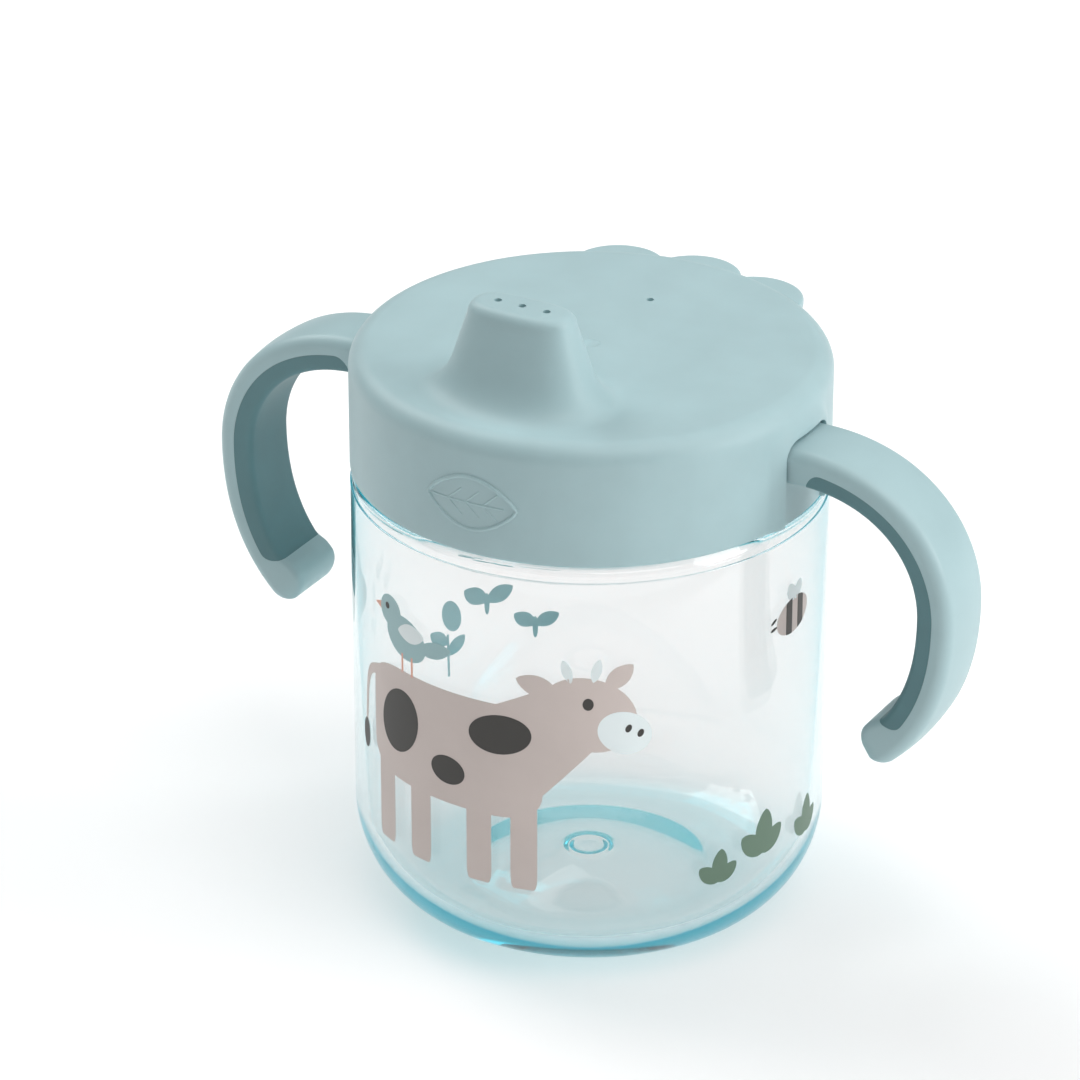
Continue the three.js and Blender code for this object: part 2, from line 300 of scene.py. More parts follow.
def blank_material(name):
    material = bpy.data.materials.new(name)
    material.use_nodes = True
    material.node_tree.nodes.clear()
    return material, material.node_tree


def moulded(name, colour, roughness, grain, variation=0.04, sheen=0.0, softness=0.0):
    """Moulded plastic or rubber: slight mottling in colour and gloss, and a fine surface grain."""
    material, tree = blank_material(name)
    link = tree.links.new
    place = tree.nodes.new("ShaderNodeTexCoord")
    mottle = node(tree, "ShaderNodeTexNoise", Scale=90.0, Detail=3.0, Roughness=0.55)
    link(place.outputs["Object"], mottle.inputs["Vector"])
    shades = tree.nodes.new("ShaderNodeValToRGB")
    shades.color_ramp.elements[0].position = 0.3
    shades.color_ramp.elements[1].position = 0.7
    shades.color_ramp.elements[0].color = [c * (1 - variation) for c in colour] + [1]
    shades.color_ramp.elements[1].color = [min(1, c * (1 + variation)) for c in colour] + [1]
    link(mottle.outputs["Fac"], shades.inputs["Fac"])
    gloss = node(tree, "ShaderNodeMapRange", To_Min=roughness - 0.04, To_Max=roughness + 0.05)
    link(mottle.outputs["Fac"], gloss.inputs["Value"])
    fine = node(tree, "ShaderNodeTexNoise", Scale=2600.0, Detail=2.0, Roughness=0.6)
    link(place.outputs["Object"], fine.inputs["Vector"])
    bump = node(tree, "ShaderNodeBump", Strength=grain, Distance=0.05 * MM)
    link(fine.outputs["Fac"], bump.inputs["Height"])
    shader = node(tree, "ShaderNodeBsdfPrincipled", IOR=1.45)
    shader.inputs["Sheen Weight"].default_value = sheen
    shader.inputs["Sheen Roughness"].default_value = 0.4
    if softness:
        shader.inputs["Subsurface Weight"].default_value = softness
        shader.inputs["Subsurface Radius"].default_value = (0.7, 1.0, 1.0)
        shader.inputs["Subsurface Scale"].default_value = 1.2 * MM
    link(shades.outputs["Color"], shader.inputs["Base Color"])
    link(gloss.outputs["Result"], shader.inputs["Roughness"])
    link(bump.outputs["Normal"], shader.inputs["Normal"])
    out = tree.nodes.new("ShaderNodeOutputMaterial")
    link(shader.outputs["BSDF"], out.inputs["Surface"])
    return material


def clear_plastic(name):
    """Tinted clear copolyester. The tint deepens with the length of the path through it, and light
    that stays trapped in the wall is let out after a few bounces instead of going black."""
    material, tree = blank_material(name)
    link = tree.links.new
    place = tree.nodes.new("ShaderNodeTexCoord")
    flow = node(tree, "ShaderNodeTexNoise", Scale=55.0, Detail=1.0, Roughness=0.4)
    link(place.outputs["Object"], flow.inputs["Vector"])
    bump = node(tree, "ShaderNodeBump", Strength=0.06, Distance=0.3 * MM)
    link(flow.outputs["Fac"], bump.inputs["Height"])
    shader = node(tree, "ShaderNodeBsdfPrincipled", Roughness=0.012, IOR=1.53)
    shader.inputs["Base Color"].default_value = (1.0, 0.935, 0.925, 1)
    shader.inputs["Transmission Weight"].default_value = 1.0
    link(bump.outputs["Normal"], shader.inputs["Normal"])
    through = tree.nodes.new("ShaderNodeBsdfTransparent")
    through.inputs["Color"].default_value = (0.985, 0.985, 0.985, 1)
    rays = tree.nodes.new("ShaderNodeLightPath")
    trapped = tree.nodes.new("ShaderNodeMath")
    trapped.operation = "GREATER_THAN"
    trapped.inputs[1].default_value = GLASS_DEPTH
    link(rays.outputs["Ray Depth"], trapped.inputs[0])
    straight = node(tree, "ShaderNodeBsdfRefraction", Roughness=0.0, IOR=1.0)
    straight.inputs["Color"].default_value = (0.24, 0.78, 0.83, 1)
    solid = tree.nodes.new("ShaderNodeMixShader")
    link(trapped.outputs["Value"], solid.inputs["Fac"])
    link(shader.outputs["BSDF"], solid.inputs[1])
    link(straight.outputs["BSDF"], solid.inputs[2])
    shown = solid
    for ray in ("Is Diffuse Ray", "Is Shadow Ray"):
        choice = tree.nodes.new("ShaderNodeMixShader")
        link(rays.outputs[ray], choice.inputs["Fac"])
        link(shown.outputs["Shader"], choice.inputs[1])
        link(through.outputs["BSDF"], choice.inputs[2])
        shown = choice
    absorb = tree.nodes.new("ShaderNodeVolumeAbsorption")
    absorb.inputs["Color"].default_value = (0.20, 0.73, 0.80, 1)
    absorb.inputs["Density"].default_value = 45.0
    out = tree.nodes.new("ShaderNodeOutputMaterial")
    link(shown.outputs["Shader"], out.inputs["Surface"])
    link(absorb.outputs["Volume"], out.inputs["Volume"])
    return material


def ink(name, colour):
    """A film of ink. It is thin enough to let part of the light through to the inside of the cup."""
    material = moulded(name, colour, 0.42, 0.05, variation=0.03)
    tree = material.node_tree
    link = tree.links.new
    surface = tree.nodes["Material Output"].inputs["Surface"]
    through = tree.nodes.new("ShaderNodeBsdfTransparent")
    through.inputs["Color"].default_value = (0.7, 0.69, 0.68, 1)
    rays = tree.nodes.new("ShaderNodeLightPath")
    choice = tree.nodes.new("ShaderNodeMixShader")
    link(rays.outputs["Is Shadow Ray"], choice.inputs["Fac"])
    link(surface.links[0].from_socket, choice.inputs[1])
    link(through.outputs["BSDF"], choice.inputs[2])
    link(choice.outputs["Shader"], surface)
    return material


SILICONE = moulded("lid_silicone", (0.40, 0.56, 0.585), 0.46, 0.10, 0.03, sheen=0.12, softness=0.15)
HARD_PLASTIC = moulded("handle_plastic", (0.40, 0.56, 0.585), 0.40, 0.06, 0.025)
GRIP_RUBBER = moulded("grip_rubber", (0.115, 0.235, 0.255), 0.58, 0.35, 0.05, sheen=0.2)
CLEAR = clear_plastic("clear_plastic")
INK_TAUPE = ink("ink_taupe", (0.63, 0.55, 0.517))
INK_DARK = ink("ink_dark", (0.045, 0.042, 0.038))
INK_BLUE = ink("ink_blue", (0.35, 0.53, 0.55))
INK_PALE = ink("ink_pale", (0.80, 0.88, 0.89))
INK_PINK = ink("ink_pink", (0.80, 0.42, 0.32))
INK_GREEN = ink("ink_green", (0.115, 0.19, 0.135))


# ---------------------------------------------------------------- cup

def dome_height(radius):
    """Height of the hollow under the floor, before its edge is blended."""
    edge = FOOT_RADIUS - FOOT_WIDTH
    return DOME_RISE * (1 - (radius / edge) ** 2)


def floor_height(radius):
    """Height of the floor inside the cup."""
    rise = DOME_RISE + FLOOR_THICKNESS - FLOOR_EDGE
    return FLOOR_EDGE + rise * (1 - (radius / FOOT_RADIUS) ** 2) ** 2


def bend(start, middle, end, steps):
    """(radius, height) points along a quadratic curve, without its start."""
    points = []
    for i in range(1, steps + 1):
        share = i / steps
        parts = ((1 - share) ** 2, 2 * share * (1 - share), share ** 2)
        points.append(tuple(sum(p * q[k] for p, q in zip(parts, (start, middle, end))) for k in (0, 1)))
    return points


def make_cup():
    inner_radius = CUP_RADIUS - CUP_WALL
    neck_inner = NECK_RADIUS - NECK_WALL
    neck_start = SHOULDER_TOP - 0.4 * MM
    soft = 0.25 * MM
    gate_outer = GATE_RADIUS + GATE_WIDTH / 2
    base = dome_height(GATE_RADIUS)
    profile = [(0.0, dome_height(0.0)), (GATE_RADIUS - GATE_WIDTH, dome_height(GATE_RADIUS - GATE_WIDTH))]
    for i in range(13):
        share = i / 6 - 1
        groove = GATE_DEPTH * (1 + math.cos(math.pi * share)) / 2
        profile.append((GATE_RADIUS + share * GATE_WIDTH / 2, base + groove))
    dome_edge = FOOT_RADIUS - FOOT_WIDTH
    blend_start = dome_edge - DOME_BLEND
    for i in range(1, 15):
        radius = gate_outer + (blend_start - gate_outer) * i / 14
        profile.append((radius, dome_height(radius)))
    slope = 2 * DOME_RISE * blend_start / dome_edge ** 2
    meeting = blend_start + dome_height(blend_start) / slope
    profile += bend(profile[-1], (meeting, 0.0), (2 * meeting - blend_start, 0.0), 8)
    corner = (FOOT_RADIUS, CORNER_HEIGHT)
    profile += arc(corner, (CUP_RADIUS - FOOT_RADIUS, CORNER_HEIGHT), -90, 0, 28)
    step_radius = CUP_RADIUS - STEP_DEPTH
    profile += arc((step_radius, STEP_TOP - STEP_DEPTH), (STEP_DEPTH, STEP_DEPTH), 0, 90, 5)
    shoulder = (step_radius - SHOULDER_ROUND, SHOULDER_TOP - SHOULDER_ROUND)
    profile += arc(shoulder, (SHOULDER_ROUND, SHOULDER_ROUND), 0, 90, 12)
    profile += arc((NECK_RADIUS + soft, SHOULDER_TOP + soft), (soft, soft), 270, 180, 3)
    rim = 0.9 * MM
    profile += arc((NECK_RADIUS - rim, NECK_TOP - rim), (rim, rim), 0, 90, 6)
    profile += arc((neck_inner + rim, NECK_TOP - rim), (rim, rim), 90, 180, 6)
    for i in range(13):
        share = i / 12
        narrowing = (1 - math.cos(math.pi * share)) / 2
        radius = neck_inner + (inner_radius - neck_inner) * narrowing
        profile.append((radius, neck_start - SHOULDER_DROP * share))
    inner_corner = (inner_radius - FOOT_RADIUS, CORNER_HEIGHT - FLOOR_EDGE)
    profile += arc(corner, inner_corner, 0, -90, 28)
    for i in range(23, -1, -1):
        radius = FOOT_RADIUS * i / 24
        profile.append((radius, floor_height(radius)))
    piece("clear_cup", revolve(profile), CLEAR, "cup", replaced="cup_body")


# ---------------------------------------------------------------- lid

def squared_ring(half_length, half_depth, squareness, height):
    """A ring of points on a superellipse at the spout."""
    points = []
    for i in range(SEGMENTS):
        angle = 2 * math.pi * i / SEGMENTS
        x, y = math.cos(angle), math.sin(angle)
        x = math.copysign(abs(x) ** (2 / squareness), x)
        y = math.copysign(abs(y) ** (2 / squareness), y)
        points.append(Vector((half_length * x, SPOUT_Y + half_depth * y, height)))
    return points


def blended_rings(first, last, steps):
    """Rings evenly between two rings, without the first."""
    rings = []
    for i in range(1, steps + 1):
        share = i / steps
        rings.append([a.lerp(b, share) for a, b in zip(first, last)])
    return rings


def spout_rings(inset, top, bottom, sweep):
    """Rings down the spout from its top to where it has swept level at the bottom."""
    rings = [[Vector((0, SPOUT_Y, top))]]
    edge = 1.9 * MM - inset / 2
    sections = []
    for i in range(9):
        angle = math.radians(90 - 90 * i / 8)
        pull = edge * (1 - math.cos(angle))
        sections.append((-pull, top - edge + edge * math.sin(angle)))
    straight_end = bottom + 6.5 * MM
    for i in range(1, 9):
        height = top - edge + (straight_end - top + edge) * i / 8
        sections.append((SPOUT_DRAFT * (top - edge - height), height))
    knee = SPOUT_DRAFT * (top - edge - bottom)
    start = sections[-1]
    for i in range(1, 15):
        share = i / 14
        reach = (1 - share) ** 2 * start[0] + 2 * share * (1 - share) * knee + share ** 2 * (knee + sweep)
        height = (1 - share) ** 2 * start[1] + (1 - (1 - share) ** 2) * bottom
        sections.append((reach, height))
    for reach, height in sections:
        share = min(1.0, max(0.0, (top - height) / (top - bottom)))
        squareness = 2.9 - 0.8 * share
        half_length = TIP_HALF_LENGTH - inset + reach
        half_depth = TIP_HALF_DEPTH - inset + reach
        rings.append(squared_ring(half_length, half_depth, squareness, height))
    return rings


def make_lid():
    underside = LID_TOP - LID_THICKNESS
    skirt_inner = CUP_RADIUS - SKIRT_WALL
    plug_outer = NECK_RADIUS - NECK_WALL - NECK_GAP
    plug_inner = plug_outer - PLUG_WALL
    flat_radius = CUP_RADIUS - LID_ROUND
    rings = spout_rings(0.0, SPOUT_TOP, LID_TOP, 4.2 * MM)
    rings += blended_rings(rings[-1], circle(flat_radius, LID_TOP), 10)
    rim = arc((flat_radius, LID_TOP - LID_ROUND), (LID_ROUND, LID_ROUND), 90, 0, 14)
    profile = rim[1:]
    drop = LID_TOP - LID_ROUND - SKIRT_BOTTOM
    profile += [(CUP_RADIUS, LID_TOP - LID_ROUND - drop * i / 20) for i in range(1, 20)]
    soft = 0.45 * MM
    profile += arc((CUP_RADIUS - soft, SKIRT_BOTTOM + soft), (soft, soft), 0, -90, 4)
    profile += [(skirt_inner + 0.15 * MM, SKIRT_BOTTOM), (skirt_inner, SKIRT_BOTTOM + 0.15 * MM)]
    profile += [(skirt_inner, underside), (plug_outer, underside)]
    profile += [(plug_outer, PLUG_BOTTOM + soft), (plug_outer - soft, PLUG_BOTTOM)]
    profile += [(plug_inner + soft, PLUG_BOTTOM), (plug_inner, PLUG_BOTTOM + soft)]
    profile += [(plug_inner, underside)]
    for radius, height in profile:
        ring = circle(radius, height)
        if radius > skirt_inner + 0.5 * MM:
            ring = [point + Vector((point.x, point.y, 0)).normalized() * lip_rise(point) for point in ring]
        rings.append(ring)
    hollow = spout_rings(SPOUT_WALL, SPOUT_TOP - SPOUT_WALL, underside, 1.2 * MM)
    rings += blended_rings(rings[-1], hollow[-1], 8)
    rings += hollow[-2::-1]
    lid = skin(rings)
    lid = combined(lid, pull_tab(), "UNION")
    for mesh in lid_cutters(underside):
        lid = combined(lid, mesh, "DIFFERENCE")
    piece("soft_lid", lid, SILICONE, "lid", 40, replaced="spout_lid")


def pin(x, y, low, high, radius, count=32):
    """A cutter for a hole, turned a little so that none of its points lies over the lid's own."""
    mesh = about_z(revolve([(0, low), (radius, low), (radius, high), (0, high)], count=count), PIN_TURN)
    bmesh.ops.translate(mesh, verts=mesh.verts[:], vec=(x, y, 0))
    return mesh


def lid_cutters(underside):
    """The spout's holes, the air vent, the moulding dimple and the notches over the arms."""
    cutters = []
    for x in (-HOLE_SPACING, 0, HOLE_SPACING):
        cutters.append(pin(x, SPOUT_Y, SPOUT_TOP - 2 * SPOUT_WALL, SPOUT_TOP + MM, HOLE_RADIUS))
    cutters.append(pin(0, VENT_Y, underside - MM, LID_TOP + MM, HOLE_RADIUS))
    dimple = arc((0, LID_TOP + 0.5 * MM), (1.9 * MM, 0.9 * MM), -90, 90, 10)
    cutters.append(revolve([(max(0, r), z) for r, z in dimple], count=40))
    for side in (0, math.pi):
        notch = wrapped([root_outline(0.12 * MM)], NECK_RADIUS + MM, CUP_RADIUS + 3 * MM)
        cutters.append(about_z(notch, math.pi / 2 + side))
    return cutters


def pull_tab():
    """A plate with three round lobes, standing out of the rim at the back."""
    top = TAB_TOP
    low = top - TAB_THICKNESS
    lobe, distance, spread, root = 8 * MM, 35.4 * MM, math.radians(22), 38.9 * MM
    soft = 0.7 * MM
    edge_angle = spread + math.acos((distance ** 2 + root ** 2 - lobe ** 2) / (2 * distance * root))
    rings = []
    count = 150
    for i in range(count + 1):
        angle = edge_angle * (2 * i / count - 1)
        reach = root + 0.02 * MM
        for k in (-1, 0, 1):
            off = angle - k * spread
            under = lobe ** 2 - (distance * math.sin(off)) ** 2
            if under > 0:
                reach = max(reach, distance * math.cos(off) + math.sqrt(under))
        inset = min(soft, (reach - root) * 0.9)
        profile = [(root - 0.2 * MM, low)]
        profile += arc((reach - inset, low + soft), (inset, soft), -90, 0, 4)
        profile += arc((reach - inset, top - soft), (inset, soft), 0, 90, 4)
        profile.append((root - 0.2 * MM, top))
        direction = Vector((math.sin(angle), math.cos(angle), 0))
        rings.append([direction * radius + Vector((0, 0, height)) for radius, height in profile])
    return skin(rings)


def bead(path, half_width, rise, closed=False):
    """A rounded line laid on the lid's skirt, along points of arc length and height."""
    rings = []
    last = len(path) - 1
    for i, point in enumerate(path):
        before = path[i - 1] if closed or i else point
        after = path[(i + 1) % len(path)] if closed or i < last else point
        ahead = (after - before).normalized()
        side = Vector((-ahead.y, ahead.x))
        ring = []
        for k in range(12):
            angle = math.pi * k / 6
            place = point + side * half_width * math.cos(angle)
            ring.append(on_wall(place.x, place.y, CUP_RADIUS + rise * math.sin(angle)))
        rings.append(ring)
    return skin(rings, closed)


def leaf_mark():
    """A plain raised leaf on the skirt, below the spout."""
    centre = Vector((0.5, 88.5)) * MM
    half_length, half_height = 8.2 * MM, 4.6 * MM
    steps = 28
    outline = []
    for sign in (-1, 1):
        for i in range(steps):
            share = i / steps
            bulge = half_height * math.sin(math.pi * share) ** 0.8
            outline.append(centre - sign * Vector((half_length * (2 * share - 1), bulge)))
    mark = wrapped([outline], CUP_RADIUS - 0.2 * MM, CUP_RADIUS + 0.07 * MM)
    mark = combined(mark, bead(outline, 0.34 * MM, 0.32 * MM, closed=True), "UNION")
    stem = [centre + Vector((x, 0)) * MM for x in range(-8, 7)]
    mark = combined(mark, bead(stem, 0.22 * MM, 0.2 * MM), "UNION")
    for start in (-4.0, -0.8, 2.4):
        for sign in (-1, 1):
            rib = [centre + Vector((start + 0.5 * i, sign * (0.1 + 0.45 * i))) * MM for i in range(6)]
            mark = combined(mark, bead(rib, 0.18 * MM, 0.17 * MM), "UNION")
    piece("leaf_mark", mark, SILICONE, "lid")


# ---------------------------------------------------------------- handles

def about_z(mesh, angle):
    bmesh.ops.rotate(mesh, verts=mesh.verts[:], cent=(0, 0, 0), matrix=Matrix.Rotation(angle, 3, "Z"))
    return mesh


def root_outline(margin):
    """The arch that an arm's root fills in the skirt, open at the bottom."""
    half = ROOT_HALF_WIDTH + margin
    top = ROOT_TOP + margin
    low = SKIRT_BOTTOM - margin
    corner = (ROOT_CORNER, ROOT_CORNER)
    outline = [(-half, low), (half, low)]
    outline += arc((half - ROOT_CORNER, top - ROOT_CORNER), corner, 0, 90, 10)
    outline += arc((ROOT_CORNER - half, top - ROOT_CORNER), corner, 90, 180, 10)
    return outline


def lip_rise(point):
    """How far the skirt swells out round an arm's root."""
    along = CUP_RADIUS * abs(math.atan2(point.y, abs(point.x)))
    across = along - (ROOT_HALF_WIDTH - ROOT_CORNER)
    above = point.z - (ROOT_TOP - ROOT_CORNER)
    distance = math.hypot(max(across, 0), max(above, 0)) - ROOT_CORNER
    return LIP_HEIGHT * (1 - smooth_step(0.3 * MM, LIP_WIDTH, distance))


def bezier(a, b, c, d, share):
    rest = 1 - share
    return a * rest ** 3 + b * 3 * rest ** 2 * share + c * 3 * rest * share ** 2 + d * share ** 3


def arm_path():
    """Points down the arm's outer line in X and Z, evenly spaced."""
    outermost = Vector((ARM_REACH, 68 * MM))
    root = Vector((38.5, 93.6)) * MM
    tip = Vector((60.3, 41)) * MM
    first = (root, Vector((58.6, 95.2)) * MM, Vector((ARM_REACH, 82.4 * MM)), outermost)
    second = (outermost, Vector((ARM_REACH, 57.2 * MM)), Vector((67.4, 48)) * MM, tip)
    dense = [bezier(*first, i / 200) for i in range(200)]
    dense += [bezier(*second, i / 200) for i in range(201)]
    lengths = [0.0]
    for a, b in zip(dense, dense[1:]):
        lengths.append(lengths[-1] + (b - a).length)
    return dense, lengths


ARM_POINTS, ARM_LENGTHS = arm_path()


def arm_station(share):
    """The outer line's point, and the unit directions along it and into the arm."""
    target = share * ARM_LENGTHS[-1]
    k = 1
    while k < len(ARM_LENGTHS) - 1 and ARM_LENGTHS[k] < target:
        k += 1
    step = ARM_POINTS[k] - ARM_POINTS[k - 1]
    along = step.normalized()
    point = ARM_POINTS[k - 1] + step * ((target - ARM_LENGTHS[k - 1]) / step.length)
    return point, along, Vector((along.y, -along.x))


def smooth_step(low, high, value):
    share = min(1.0, max(0.0, (value - low) / (high - low)))
    return share * share * (3 - 2 * share)


def arm_section():
    """(across, depth) round the arm: a crowned outer face, and sides that draw in a little inwards."""
    flat = ARM_HALF_WIDTH - OUTER_ROUND
    half = [(flat * i / 6, ARM_CROWN * (i / 6) ** 2) for i in range(7)]
    half += arc((flat, ARM_CROWN + OUTER_ROUND), (OUTER_ROUND, OUTER_ROUND), -90, 0, 8)[1:]
    inner_half = ARM_HALF_WIDTH - ARM_TAPER
    centre = (inner_half - INNER_ROUND, ARM_THICKNESS - INNER_ROUND)
    half += arc(centre, (INNER_ROUND, INNER_ROUND), 0, 90, 7)
    half.append((inner_half / 2, ARM_THICKNESS))
    return half + [(0.0, ARM_THICKNESS)] + [(-across, depth) for across, depth in half[:0:-1]]


def sweep(section_at, shares, tip=0):
    """Rings along the arm. section_at gives (across, depth) points for a share of the length."""
    rings = []
    for share in shares:
        point, _, inward = arm_station(share)
        ring = []
        for across, depth in section_at(share):
            flat = point + inward * depth
            ring.append(Vector((flat.x, across, flat.y)))
        rings.append(ring)
    if tip:
        point, along, inward = arm_station(1.0)
        section = section_at(1.0)
        centre = sum(depth for _, depth in section) / len(section)
        radius = ARM_THICKNESS / 2
        for i in range(1, tip + 1):
            angle = math.radians(86 * i / tip)
            narrow = 1 - TIP_NARROWING * (1 - math.cos(angle)) / ARM_HALF_WIDTH
            ring = []
            for across, depth in section:
                flat = point + inward * (centre + (depth - centre) * math.cos(angle))
                flat = flat + along * radius * math.sin(angle)
                ring.append(Vector((flat.x, across * narrow, flat.y)))
            rings.append(ring)
    return rings


def even(start, end, steps):
    return [start + (end - start) * i / steps for i in range(steps + 1)]


def seat_section(margin):
    """Sections of the block that holds the grip, deeper at its rounded ends."""
    floor = GRIP_SEAT - margin
    above = ARM_THICKNESS + 2 * MM

    def section_at(share):
        nearest = min(share - GRIP_START, GRIP_END - share) / GRIP_TURN
        share_in = min(1.0, max(0.0, nearest))
        rise = 1 - math.sqrt(max(0.0, 1 - (1 - share_in) ** 2))
        start = floor + (above - 0.1 * MM - floor) * rise
        return [(-9 * MM, start), (9 * MM, start), (9 * MM, above), (-9 * MM, above)]

    ends = even(0, 1, 10)
    shares = [GRIP_START + GRIP_TURN * share ** 2 for share in ends]
    shares += even(GRIP_START + GRIP_TURN, GRIP_END - GRIP_TURN, 60)[1:-1]
    shares += [GRIP_END - GRIP_TURN * share ** 2 for share in reversed(ends)]
    return skin(sweep(section_at, shares))


def full_arm(lip):
    """The right arm in one closed piece, with a lip that turns in towards the cup at its tip."""
    section = arm_section()

    def section_at(share):
        extra = lip * smooth_step(0.935, 0.985, share)
        return [
            (across, depth + extra * smooth_step(0.3, 1.0, depth / ARM_THICKNESS))
            for across, depth in section
        ]

    return skin(sweep(section_at, even(0, 1, 110), tip=10))


def make_handles():
    inner = NECK_RADIUS + NECK_GAP
    outer = inner + RING_WALL
    soft = 0.2 * MM
    ring = [(inner, SKIRT_BOTTOM + soft), (inner + soft, SKIRT_BOTTOM), (outer - soft, SKIRT_BOTTOM)]
    ring += [(outer, SKIRT_BOTTOM + soft), (outer, RING_TOP - soft), (outer - soft, RING_TOP)]
    ring += [(inner + soft, RING_TOP), (inner, RING_TOP - soft)]
    handles = revolve(ring, closed=True)
    for side, name in ((0, "right"), (math.pi, "left")):
        arm = combined(full_arm(TIP_LIP), seat_section(GRIP_GAP), "DIFFERENCE")
        root = wrapped([root_outline(0)], inner + 0.4 * MM, CUP_RADIUS - 0.1 * MM, step=0.8 * MM)
        arm = combined(arm, about_z(root, math.pi / 2), "UNION")
        handles = combined(handles, about_z(arm, side), "UNION")
        pad = combined(full_arm(TIP_LIP), seat_section(0.0), "INTERSECT")
        piece(f"soft_grip_{name}", about_z(pad, side), GRIP_RUBBER, "handles", 40,
              replaced=f"grip_{name}")
    piece("handles", handles, HARD_PLASTIC, "handles", 40, replaced="handle_ring")


# ---------------------------------------------------------------- printed pictures

def ellipse(x, z, half_width, half_height, turn=0.0, count=40):
    """An outline in millimetres of wall length and height."""
    tilt = math.radians(turn)
    points = []
    for i in range(count):
        angle = 2 * math.pi * i / count
        u, v = half_width * math.cos(angle), half_height * math.sin(angle)
        points.append((
            (x + u * math.cos(tilt) - v * math.sin(tilt)) * MM,
            (z + u * math.sin(tilt) + v * math.cos(tilt)) * MM,
        ))
    return points


def leaf(x, z, length, width, turn, fullness=0.7, count=18):
    """A leaf from its stem at (x, z), turned from upright, in millimetres."""
    tilt = math.radians(turn)
    points = []
    for sign in (1, -1):
        for i in range(count):
            share = i / count
            along = share if sign == 1 else 1 - share
            across = sign * width / 2 * math.sin(math.pi * along) ** fullness
            points.append((
                (x + across * math.cos(tilt) - along * length * math.sin(tilt)) * MM,
                (z + across * math.sin(tilt) + along * length * math.cos(tilt)) * MM,
            ))
    return points


def softened(*corners, steps=8):
    """A closed outline in millimetres. Each corner is (x, z, softness): 0 is sharp, and 1 rounds
    off half of the side before it and half of the side after it."""
    points = []
    for i, (x, z, softness) in enumerate(corners):
        corner = Vector((x, z)) * MM
        before = Vector(corners[i - 1][:2]) * MM
        after = Vector(corners[(i + 1) % len(corners)][:2]) * MM
        start = corner.lerp(before, softness / 2)
        end = corner.lerp(after, softness / 2)
        for k in range(steps + 1):
            share = k / steps
            point = start.lerp(corner, share).lerp(corner.lerp(end, share), share)
            if not points or (point - points[-1]).length > 0.001 * MM:
                points.append(point)
    return points


def bar(x, z, width, height):
    """An upright rectangle in millimetres, from its lower left corner."""
    return softened((x, z, 0), (x + width, z, 0), (x + width, z + height, 0), (x, z + height, 0))


def printed(name, outlines, material, level=1, within=None):
    """A film of ink on the cup's wall. Higher levels lie over lower ones."""
    film = 0.03 * MM
    inner = CUP_RADIUS + 0.02 * MM + film * (level - 1)
    sheet = wrapped(outlines, inner, inner + film * 0.8, within=within)
    piece(f"print_{name}", sheet, material, "cup")


def print_cow():
    """A plain cow seen from the side, put together from simple shapes."""
    body = softened((-23, 53, 0.5), (13, 53, 0.5), (13, 32, 0.5), (-23, 32, 0.5))
    neck = softened((3, 52, 0.3), (17, 59, 0.4), (24, 49, 0.4), (11, 35, 0.3))
    width = 4.6
    legs = [
        softened((x, 19, 0.3), (x + width, 19, 0.3), (x + width, 37, 0), (x, 37, 0))
        for x in (-21.5, -12.5, -0.5, 7.5)
    ]
    head = ellipse(20.5, 52.6, 8.2, 6.6, -24)
    ears = [leaf(15.6, 56.4, 7.4, 3.8, 74), leaf(23.2, 57.4, 6.2, 3.4, -46)]
    tail = softened((-21, 51.5, 0.6), (-26.4, 49, 0.9), (-27.2, 37, 0), (-26.4, 37, 0), (-25.4, 47.6, 0.9),
                    (-21, 49.5, 0.6))
    tuft = ellipse(-26.8, 35.6, 1.3, 2.8)
    printed("cow", [body, neck, head, tail] + legs + ears, INK_TAUPE)
    printed("cow_tuft", [tuft], INK_DARK, 2)
    patches = [
        ellipse(5.6, 47.4, 5.6, 3.6, 10),
        ellipse(-15.4, 43.2, 4.6, 6.2, -20),
        ellipse(-4.2, 38.2, 3.4, 2.6, 0),
    ]
    for i, patch in enumerate(patches):
        printed(f"cow_patch_{i + 1}", [patch], INK_DARK, 2)
    printed("cow_muzzle", [ellipse(26.4, 49.2, 4.6, 3.8, -24)], INK_PALE, 2)
    nostrils = [ellipse(x, z, 0.5, 0.75, -24) for x, z in ((27.0, 50.0), (29.0, 49.0))]
    printed("cow_nostrils", nostrils, INK_DARK, 3)
    printed("cow_eye", [ellipse(20.4, 54.6, 0.9, 1.1)], INK_DARK, 2)
    printed("cow_horns", [leaf(17.6, 58.4, 4.4, 1.7, 18), leaf(21.2, 58.6, 4.4, 1.7, -14)], INK_PALE)


def print_bird():
    """A plain small bird, standing on the cow's back."""
    body = ellipse(-13.6, 59.2, 5.0, 3.8, -14)
    head = ellipse(-17.6, 62.8, 2.9, 2.8)
    tail = leaf(-10.4, 58.4, 7.4, 3.0, -74)
    printed("bird", [body, head, tail], INK_BLUE)
    printed("bird_wing", [leaf(-15.4, 60.2, 6.4, 3.4, -84)], INK_PALE, 2)
    printed("bird_eye", [ellipse(-18.4, 63.4, 0.55, 0.6)], INK_DARK, 2)
    beak = softened((-20.0, 63.6, 0), (-22.4, 62.6, 0.3), (-20.0, 61.9, 0))
    printed("bird_beak", [beak], INK_PINK)
    printed("bird_legs", [bar(x, 52.6, 0.45, 3.6) for x in (-14.6, -12.2)], INK_PINK)


